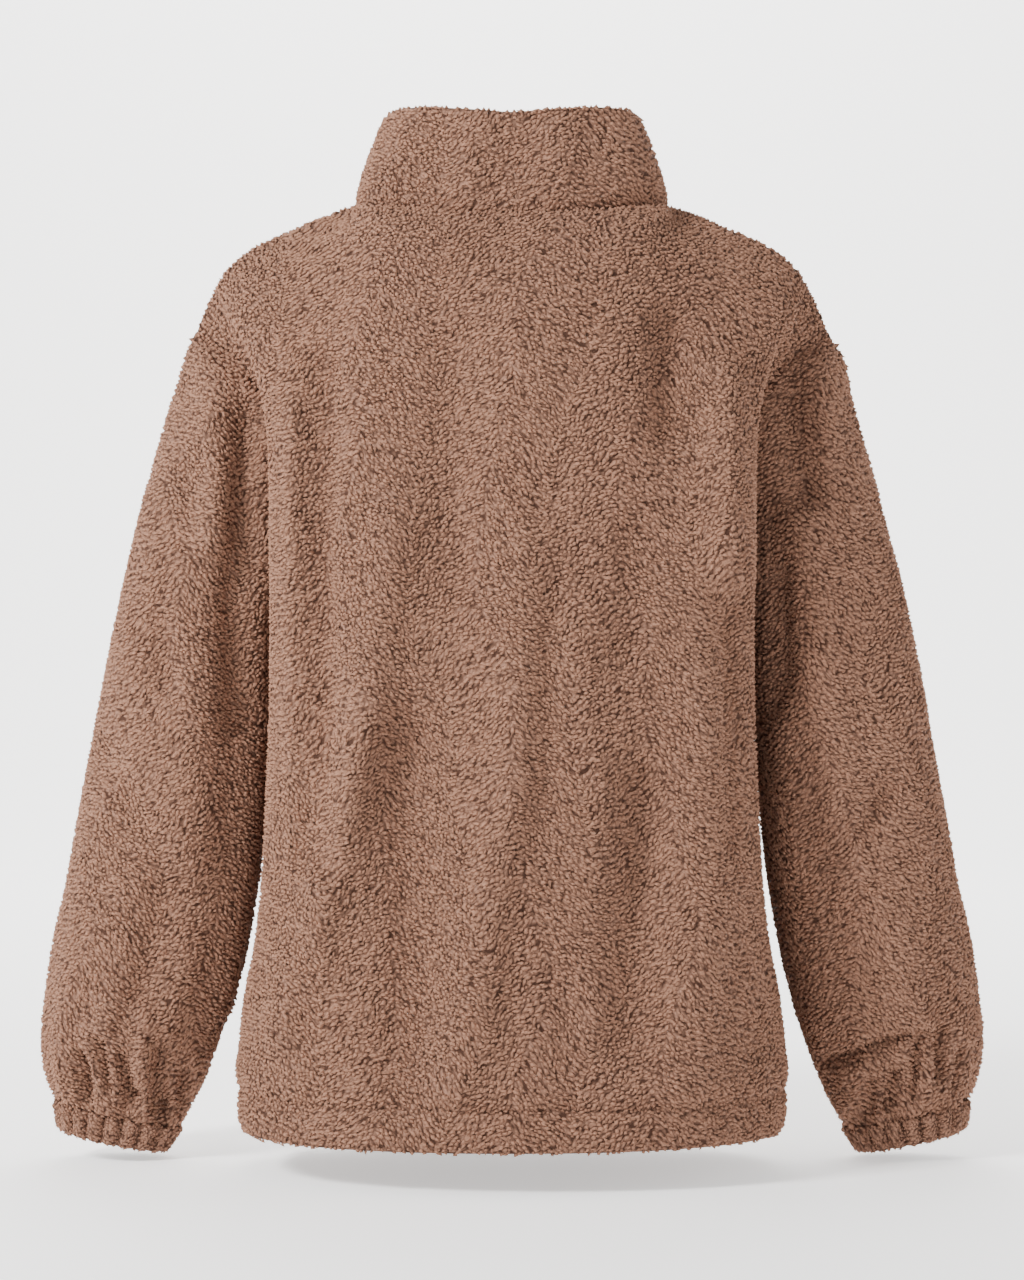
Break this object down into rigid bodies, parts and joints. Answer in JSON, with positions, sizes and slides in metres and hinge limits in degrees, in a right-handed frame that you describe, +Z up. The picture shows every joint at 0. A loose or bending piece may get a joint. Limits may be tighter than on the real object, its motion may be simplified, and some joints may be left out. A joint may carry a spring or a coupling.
{
  "type": "fleece jacket",
  "caption": "Hollow teddy fleece jacket filled out as worn: stand collar, drop shoulders, gathered ribbed cuffs, stitched hem and closed front zip.",
  "frame": {"origin": "middle of the neck opening at the height of the shoulder points, where the wearer's neck and shoulders hold the jacket", "axes": "+X to the wearer's left, -Y to the wearer's front, +Z up"},
  "size_m": [0.6606, 0.2587, 0.7199],
  "materials": {
    "fleece": "curly long-pile teddy fleece, matte, warm taupe brown",
    "cuff_binding": "the same fleece drawn in over elastic, ribbed",
    "zip_tape": "woven polyester tape and coil, matte",
    "zip_metal": "brown painted metal, satin"
  },
  "bodies": {
    "jacket": {"back": "fleece", "front_left": "fleece", "front_right": "fleece", "sleeve_left": "fleece", "sleeve_right": "fleece", "collar": "fleece", "cuff_left": "cuff_binding", "cuff_right": "cuff_binding", "zip_tape_left": "zip_tape", "zip_tape_right": "zip_tape", "zip_chain": "zip_tape", "zip_slider": "zip_metal", "zip_box": "zip_metal"},
    "zip_pull": {"zip_pull": "zip_metal"}
  },
  "joints": [
    {"name": "pull_tab_swing", "type": "hinge", "parent": "jacket", "child": "zip_pull", "pos_m": [0, -0.06186, -0.01171], "axis": [-1, 0, 0], "range_deg": [0, 150]}
  ]
}
